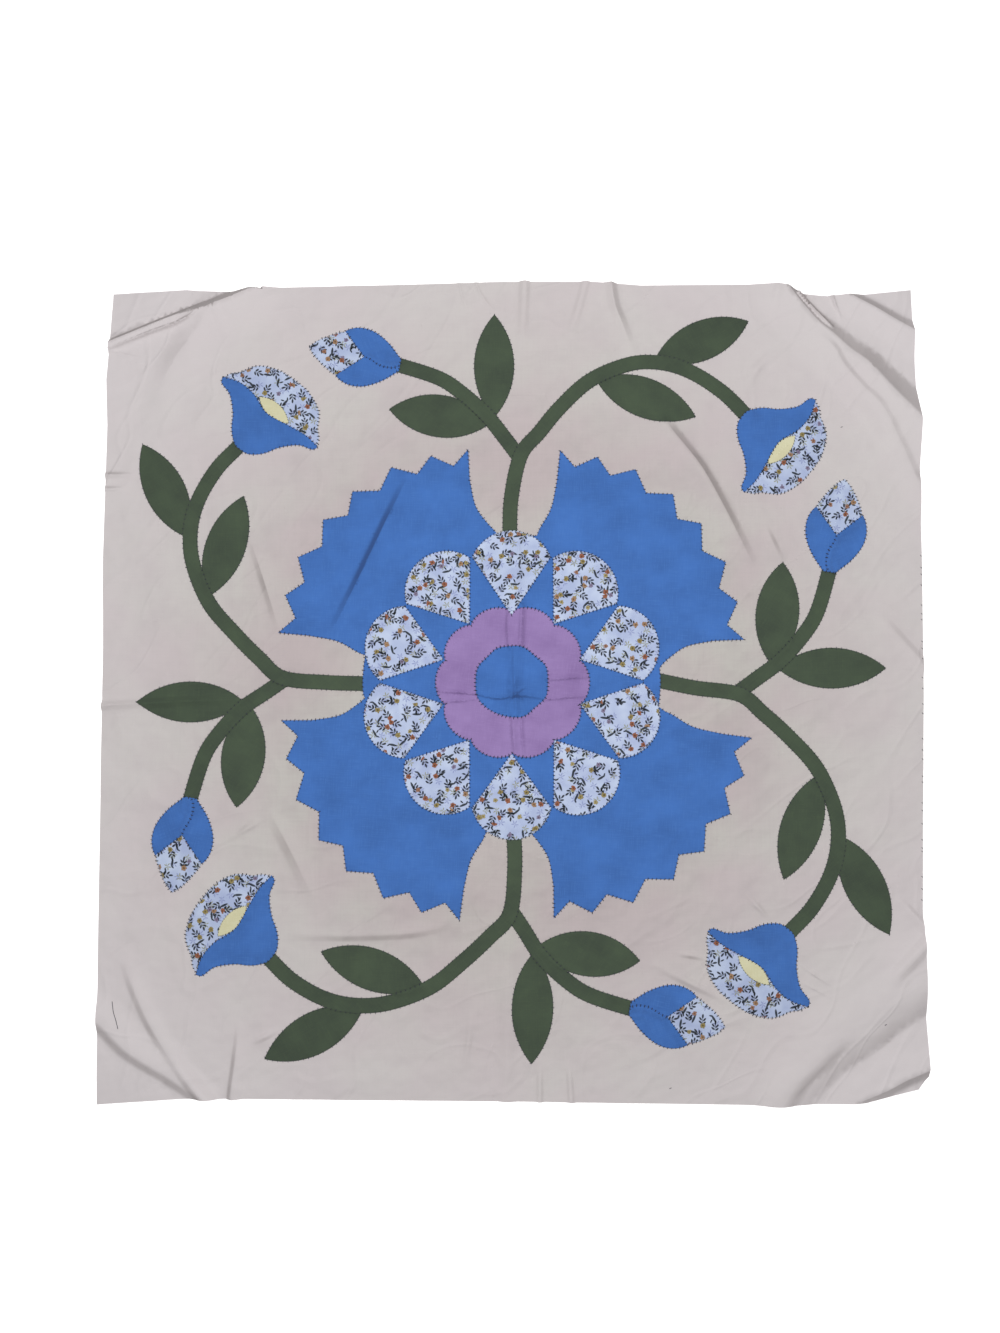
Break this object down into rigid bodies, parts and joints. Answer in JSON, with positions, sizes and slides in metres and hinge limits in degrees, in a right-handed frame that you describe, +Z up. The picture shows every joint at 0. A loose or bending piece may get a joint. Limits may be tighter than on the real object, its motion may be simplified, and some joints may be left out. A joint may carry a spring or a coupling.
{
  "type": "applique quilt top",
  "caption": "Square quilt top of pale cotton laid out flat, with a petalled flower medallion, saw-edged blue arms and trailing flower vines sewn on.",
  "frame": {"origin": "middle of the laid-out cloth, at the flat underside", "axes": "+Z up out of the right side of the cloth; +Y towards the top edge of the design, +X towards its right edge"},
  "size_m": [0.8736, 0.8688, 0.0103],
  "materials": {
    "muslin": "plain-woven unbleached cotton muslin, pinkish beige, unpressed",
    "blue_cotton": "plain-woven cotton, cornflower blue",
    "green_cotton": "plain-woven cotton, olive green",
    "lavender_cotton": "plain-woven cotton, lavender",
    "print_cotton": "cotton calico, small scattered flower sprigs on bluish white",
    "yellow_cotton": "plain-woven cotton, pale yellow"
  },
  "bodies": {
    "root": {"ground": "muslin", "blue_base": "blue_cotton", "petal_01": "print_cotton", "petal_02": "print_cotton", "petal_03": "print_cotton", "petal_04": "print_cotton", "petal_05": "print_cotton", "petal_06": "print_cotton", "petal_07": "print_cotton", "petal_08": "print_cotton", "petal_09": "print_cotton", "petal_10": "print_cotton", "ring": "lavender_cotton", "bell_cup_top": "blue_cotton", "bell_centre_top": "yellow_cotton", "bell_back_top": "print_cotton", "bud_cup_top": "blue_cotton", "bud_tip_top": "print_cotton", "stem_long_top": "green_cotton", "stem_short_top": "green_cotton", "leaf_upright_top": "green_cotton", "leaf_low_top": "green_cotton", "leaf_outer_top": "green_cotton", "leaf_inner_top": "green_cotton", "bell_cup_right": "blue_cotton", "bell_centre_right": "yellow_cotton", "bell_back_right": "print_cotton", "bud_cup_right": "blue_cotton", "bud_tip_right": "print_cotton", "stem_long_right": "green_cotton", "stem_short_right": "green_cotton", "leaf_upright_right": "green_cotton", "leaf_low_right": "green_cotton", "leaf_outer_right": "green_cotton", "leaf_inner_right": "green_cotton", "bell_cup_bottom": "blue_cotton", "bell_centre_bottom": "yellow_cotton", "bell_back_bottom": "print_cotton", "bud_cup_bottom": "blue_cotton", "bud_tip_bottom": "print_cotton", "stem_long_bottom": "green_cotton", "stem_short_bottom": "green_cotton", "leaf_upright_bottom": "green_cotton", "leaf_low_bottom": "green_cotton", "leaf_outer_bottom": "green_cotton", "leaf_inner_bottom": "green_cotton", "bell_cup_left": "blue_cotton", "bell_centre_left": "yellow_cotton", "bell_back_left": "print_cotton", "bud_cup_left": "blue_cotton", "bud_tip_left": "print_cotton", "stem_long_left": "green_cotton", "stem_short_left": "green_cotton", "leaf_upright_left": "green_cotton", "leaf_low_left": "green_cotton", "leaf_outer_left": "green_cotton", "leaf_inner_left": "green_cotton"}
  },
  "joints": []
}
